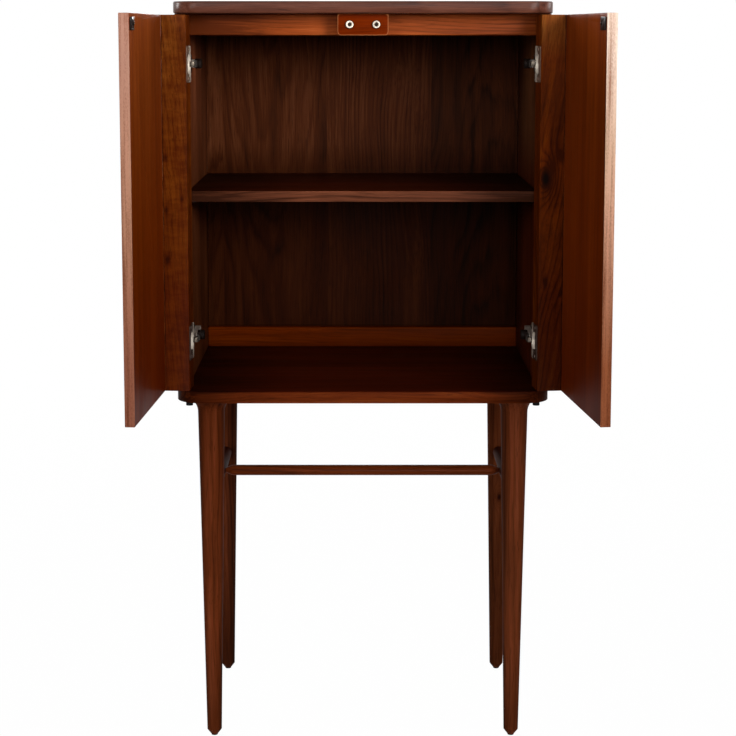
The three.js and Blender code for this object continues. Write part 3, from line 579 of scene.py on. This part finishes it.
def dark_plastic(name, tones):
    """Moulded plastic with a fine pebble and scuffs on it."""
    g = Graph(name)
    place = g.place()
    pebble = g.noise(g.stretch(place, PEBBLE_SCALE), detail=2.0)
    scuffs = g.noise(g.stretch(place, SCUFF_SCALE), detail=4.0, roughness=0.65)
    dark, light = [linear(t) for t in tones]
    colour = g.ramp(scuffs, [(0.35, dark), (0.75, light)])
    normal = g.bump(pebble, PLASTIC_BUMP, 0.5)
    return g.finish(colour, g.grey(scuffs, 0.4, 0.62), normal, Specular_IOR_Level=0.07)


def add_modifier(obj, kind, **settings):
    modifier = obj.modifiers.new(kind.lower(), kind)
    for key, value in settings.items():
        setattr(modifier, key, value)


def soften(obj, edge, segments=3):
    """Joins the solid's facets into whole faces and rounds its sharp edges."""
    add_modifier(obj, "WELD", merge_threshold=WELD_REACH)
    add_modifier(obj, "DECIMATE", decimate_type="DISSOLVE", angle_limit=FLAT_ANGLE)
    add_modifier(obj, "BEVEL", width=edge, segments=segments, limit_method="ANGLE",
                 angle_limit=SHARP_ANGLE, harden_normals=True)
    obj.data.shade_smooth()


def round_off(obj):
    """Shades a turned piece smoothly and keeps its sharp edges."""
    add_modifier(obj, "WELD", merge_threshold=WELD_REACH)
    add_modifier(obj, "EDGE_SPLIT", split_angle=SHARP_ANGLE)
    obj.data.shade_smooth()


def dress(names, material):
    for name in names:
        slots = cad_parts[name].data.materials
        slots.clear()
        slots.append(material)


def both(pattern):
    return [pattern.format(side) for side in ("left", "right")]


def nodes_with(*words):
    return [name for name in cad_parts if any(word in name for word in words)]


def dress_boards():
    dress(["top_board"], wood("walnut_top", "X", TOP_TONES, 1.0, heart=(-0.2, 1.18), lean=(0.02, 0.03),
                              gloss=0.3, shine=0.1))
    # The tops of the base board and shelf get painted shade
    _, base_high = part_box("base_board")
    base_top = Side(2, base_high.z - BASE_TOP_DEPTH, True)
    dress(["base_board"], wood("walnut_base", "X", BASE_TONES, 2.0, heart=(-0.3, 0.5), lean=(0.03, 0.02),
                               drifts=BASE_END_SHADES, faces=[(base_top, BASE_TOP_SHADE_TONES)], shine=0.012))
    _, shelf_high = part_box("shelf")
    shelf_top = Side(2, shelf_high.z - SHELF_TOP_DEPTH, True)
    dress(["shelf"], wood("walnut_shelf", "X", SHELF_TONES, 3.0, heart=(0.1, 0.84), lean=(0.02, 0.03),
                          drifts=SHELF_END_SHADES, faces=[(shelf_top, SHELF_TOP_SHADE_TONES)]))
    for name in ("top_board", "base_board"):
        soften(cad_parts[name], BOARD_EDGE)
    soften(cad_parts["shelf"], DOOR_EDGE)


def dress_walls():
    for i, side in enumerate(("left", "right")):
        panel = f"{side}_side_panel"
        dress([panel], wood(f"walnut_{side}_side", "Z", CASE_TONES, 4.0 + i, heart=SIDE_HEARTS[side],
                            lean=(0.03, 0.02), fade=SIDE_FADES[side]))
        soften(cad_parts[panel], DOOR_EDGE)
    dress(["back_panel"], wood("walnut_back", "Z", BACK_TONES, 6.0, heart=(0.0, 0.375), lean=(0.0, 0.045),
                               spacing=0.007, rings=0.24, streaks=0.24, planks=True, wobble=0.012,
                               gloss=0.5, shine=0.02, drifts=BACK_DRIFTS, fade=BACK_FADE))
    soften(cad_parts["back_panel"], DOOR_EDGE)


def dress_rails():
    dress(["top_front_rail"], wood("stained_rails", "X", FRONT_RAIL_TONES, 7.0, heart=(0.0, 1.3),
                                   lean=(0.0, 0.03), rings=0.2, drifts=RAIL_END_SHADE))
    rear_rails = ["top_rear_rail", "bottom_rear_rail"]
    dress(rear_rails, wood("stained_rear_rails", "X", REAR_RAIL_TONES, 9.0, heart=(0.3, 0.5),
                           lean=(0.02, 0.03), rings=0.2, shine=0.012))
    dress(["catch_block"], wood("stained_block", "X", BLOCK_TONES, 8.0, heart=(0.0, 1.3), rings=0.15,
                                streaks=0.15, shine=0.01, rim_highlight=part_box("catch_block")))
    for name in ["top_front_rail", "catch_block", *rear_rails]:
        soften(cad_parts[name], RAIL_EDGE)


def dress_legs():
    for i, name in enumerate(nodes_with("_leg")):
        low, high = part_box(name)
        middle = (low + high) / 2
        shift_x, shift_y = LEG_HEART_SHIFT
        heart = (middle.x + shift_x * (-1) ** i, middle.y + shift_y)
        knot = LEG_KNOT if name == "rear_right_leg" else None
        dress([name], wood(f"walnut_{name}", "Z", LEG_TONES[name], 11.0 + i, heart=heart,
                           lean=(0.012, 0.03), spacing=0.009, rings=0.2, streaks=0.34, fibre=0.14,
                           knot=knot, wobble=0.007, gloss=0.5, shine=0.008,
                           drifts=[LEG_INNER_SHADES[name]], fade=LEG_FADE))
        round_off(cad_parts[name])


def dress_foot_rail():
    dress(["cross_bar"], wood("walnut_bar", "X", BAR_TONES, 17.0, heart=(0.15, 0.43), gloss=0.34,
                              shine=0.02))
    stretchers = both("{}_stretcher")
    dress(stretchers, wood("walnut_stretcher", "Y", STRETCHER_TONES, 18.0, heart=(0.0, 0.44),
                           gloss=0.5, shine=0.008))
    pads = nodes_with("_glide", "_base_stud")
    dress(pads, dark_plastic("black_plastic_pads", PAD_PLASTIC))
    for name in ["cross_bar", *stretchers, *pads]:
        round_off(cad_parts[name])


def dress_door_panel(side, seed):
    panel = f"{side}_door_panel"
    low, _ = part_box(panel)
    pale_end = (Side(1, low.y + PALE_DEPTH, False), PALE_TONES[side], PALE_FADES[side])
    dress([panel], wood(f"walnut_{panel}", "Z", PANEL_TONES[side], seed, heart=(0.5, -0.2),
                        spacing=0.012, rings=0.1, streaks=0.3, fibre=0.14, wobble=0.003,
                        pale_end=pale_end, fade=PANEL_FADES[side]))
    soften(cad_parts[panel], DOOR_EDGE)


def dress_door_post(side, seed):
    middle = SEAM_PLACES[side]
    # A painted highlight beside each dark glue line
    highlight_middle = middle + math.copysign(SEAM_HIGHLIGHT_SHIFT, middle)
    seams = [(middle, SEAM_WIDTH, SEAM_TONE), (highlight_middle, SEAM_HIGHLIGHT_WIDTH, SEAM_HIGHLIGHT_TONE)]
    lean, slant, curl, rings = POST_GRAIN[side]
    post = f"{side}_door_post"
    dress([post], wood(f"walnut_{side}_post", "Z", POST_TONES[side], seed, heart=(0.31, -0.02),
                       lean=lean, rings=rings, streaks=0.34, curl=curl, slant=slant, spacing=0.0065,
                       knot=POST_KNOT if side == "right" else None, marks=POST_MARKS[side],
                       seams=seams, fade=POST_FADES[side]))
    soften(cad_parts[post], DOOR_EDGE)


def dress_doors():
    for i, side in enumerate(("left", "right")):
        dress_door_panel(side, 21.0 + i)
        dress_door_post(side, 24.0 + i)


def dress_hinges():
    # The hinge arms' tips get painted shade
    dress(nodes_with("_hinge_arm"), plated("hinge_arm_nickel", ARM_NICKEL, 0.45, 3.0, metal=0.3,
                                           tip_shade=ARM_SHADE_LIMIT))
    for height, shadow in CUP_SHADOWS.items():
        cup = plated(f"hinge_{height}_cup_nickel", CUP_NICKEL, 0.45, 6.0, metal=0.3, shadow=shadow)
        dress(nodes_with(f"_{height}_hinge_cup"), cup)
    dress(nodes_with("_hinge_plate"), plated("hinge_plate_shaded_steel", PLATE_SHADED_STEEL, 0.5, 8.0))
    dress(nodes_with("_hinge_link"), plated("hinge_link_steel", LINK_STEEL, 0.4, 9.0))
    dress(nodes_with("_hinge_cam"), dark_plastic("hinge_cam_dark", CAM_PLASTIC))


def dress_fittings():
    # A ring of painted shade round each magnet's rim
    low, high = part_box("right_magnet")
    ring = ((low + high) / 2, (high.x - low.x) / 2 - MAGNET_RIM_SHADE_WIDTH)
    dress(both("{}_magnet"), plated("magnet_nickel", MAGNET_NICKEL, 0.45, 5.0, ring=ring))
    dress(both("{}_strike_plate"), plated("strike_shaded_steel", STRIKE_SHADED_STEEL, 0.4, 4.0))
    dress(nodes_with("_screw"), plated("screw_steel", SCREW_STEEL, 0.45, 7.0))
    dress(nodes_with("shelf_pin_"), plated("pin_nickel", PIN_STEEL, 0.4, 6.0))
    for name in nodes_with("_hinge_", "_strike_", "_magnet", "shelf_pin_"):
        soften(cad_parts[name], METAL_EDGE, 2)


def make_floor():
    """A plane that shows the object's shadow near it, and is as white as the world further off."""
    bpy.ops.mesh.primitive_plane_add(size=FLOOR_SIZE)
    floor = bpy.context.object
    floor.name = "studio_floor"
    g = Graph("studio_floor")
    tree = g.tree
    tree.nodes.remove(g.shader)
    path = g.add("ShaderNodeLightPath")
    seen = g.math("MAXIMUM", path.outputs["Is Camera Ray"], path.outputs["Is Glossy Ray"])
    seen = g.math("MAXIMUM", seen, path.outputs["Is Transmission Ray"])
    place = g.place()
    dull, bright = [linear(t) for t in FLOOR_TONES]
    paper_tone = g.ramp(g.noise(place, 3.0), [(0.3, dull), (0.7, bright)])
    paper = g.add("ShaderNodeBsdfDiffuse", {"Color": paper_tone})
    glow = g.add("ShaderNodeEmission", {"Color": (1.0, 1.0, 1.0, 1.0), "Strength": 1.0})
    clear = g.grey(g.length(place), FLOOR_CLEARNESS, 1.0, *SHADOW_REACH)
    blend = g.add("ShaderNodeMixShader", {0: g.times(seen, clear), 1: paper.outputs[0],
                                          2: glow.outputs[0]})
    tree.links.new(blend.outputs[0], tree.nodes["Material Output"].inputs["Surface"])
    floor.data.materials.append(g.material)


def make_world():
    """White to the camera and in reflections, and a dimmer white as light."""
    world = bpy.data.worlds.new("studio_world")
    world.use_nodes = True
    tree = world.node_tree
    path = tree.nodes.new("ShaderNodeLightPath")
    glossy = tree.nodes.new("ShaderNodeMath")
    glossy.operation = "MAXIMUM"
    clear = tree.nodes.new("ShaderNodeMath")
    clear.operation = "MAXIMUM"
    level = tree.nodes.new("ShaderNodeMapRange")
    level.inputs["To Min"].default_value = WORLD_STRENGTH
    level.inputs["To Max"].default_value = 1.0
    background = tree.nodes["Background"]
    background.inputs["Color"].default_value = (1.0, 1.0, 1.0, 1.0)
    tree.links.new(path.outputs["Is Camera Ray"], glossy.inputs[0])
    tree.links.new(path.outputs["Is Glossy Ray"], glossy.inputs[1])
    tree.links.new(glossy.outputs[0], clear.inputs[0])
    tree.links.new(path.outputs["Is Transmission Ray"], clear.inputs[1])
    tree.links.new(clear.outputs[0], level.inputs["Value"])
    tree.links.new(level.outputs[0], background.inputs["Strength"])
    bpy.context.scene.world = world


def make_lamps():
    for name, (place, target, size, spread, power, colour) in LAMPS.items():
        lamp = bpy.data.lights.new(name, "AREA")
        lamp.shape = "DISK"
        lamp.size = size
        lamp.spread = math.radians(spread)
        lamp.energy = power
        lamp.color = colour
        obj = bpy.data.objects.new(name, lamp)
        obj.location = place
        obj.rotation_mode = "QUATERNION"
        obj.rotation_quaternion = (target - place).to_track_quat("-Z", "Y")
        bpy.context.scene.collection.objects.link(obj)


def make_camera():
    data = bpy.data.cameras.new("photo_camera")
    data.sensor_width = SENSOR_WIDTH * 1000
    data.lens = data.sensor_width * FOCAL_PIXELS / IMAGE_PIXELS
    data.shift_x = (IMAGE_PIXELS / 2 - AXIS_PIXEL[0]) / IMAGE_PIXELS
    data.shift_y = (AXIS_PIXEL[1] - IMAGE_PIXELS / 2) / IMAGE_PIXELS
    camera = bpy.data.objects.new("photo_camera", data)
    camera.location = CAMERA_PLACE
    camera.rotation_euler = (math.pi / 2 - CAMERA_DIP, 0.0, 0.0)
    bpy.context.scene.collection.objects.link(camera)
    bpy.context.scene.camera = camera


dress_boards()
dress_walls()
dress_rails()
dress_legs()
dress_foot_rail()
dress_doors()
dress_hinges()
dress_fittings()
make_floor()
make_world()
make_lamps()
make_camera()
bpy.context.scene.view_settings.view_transform = "Standard"
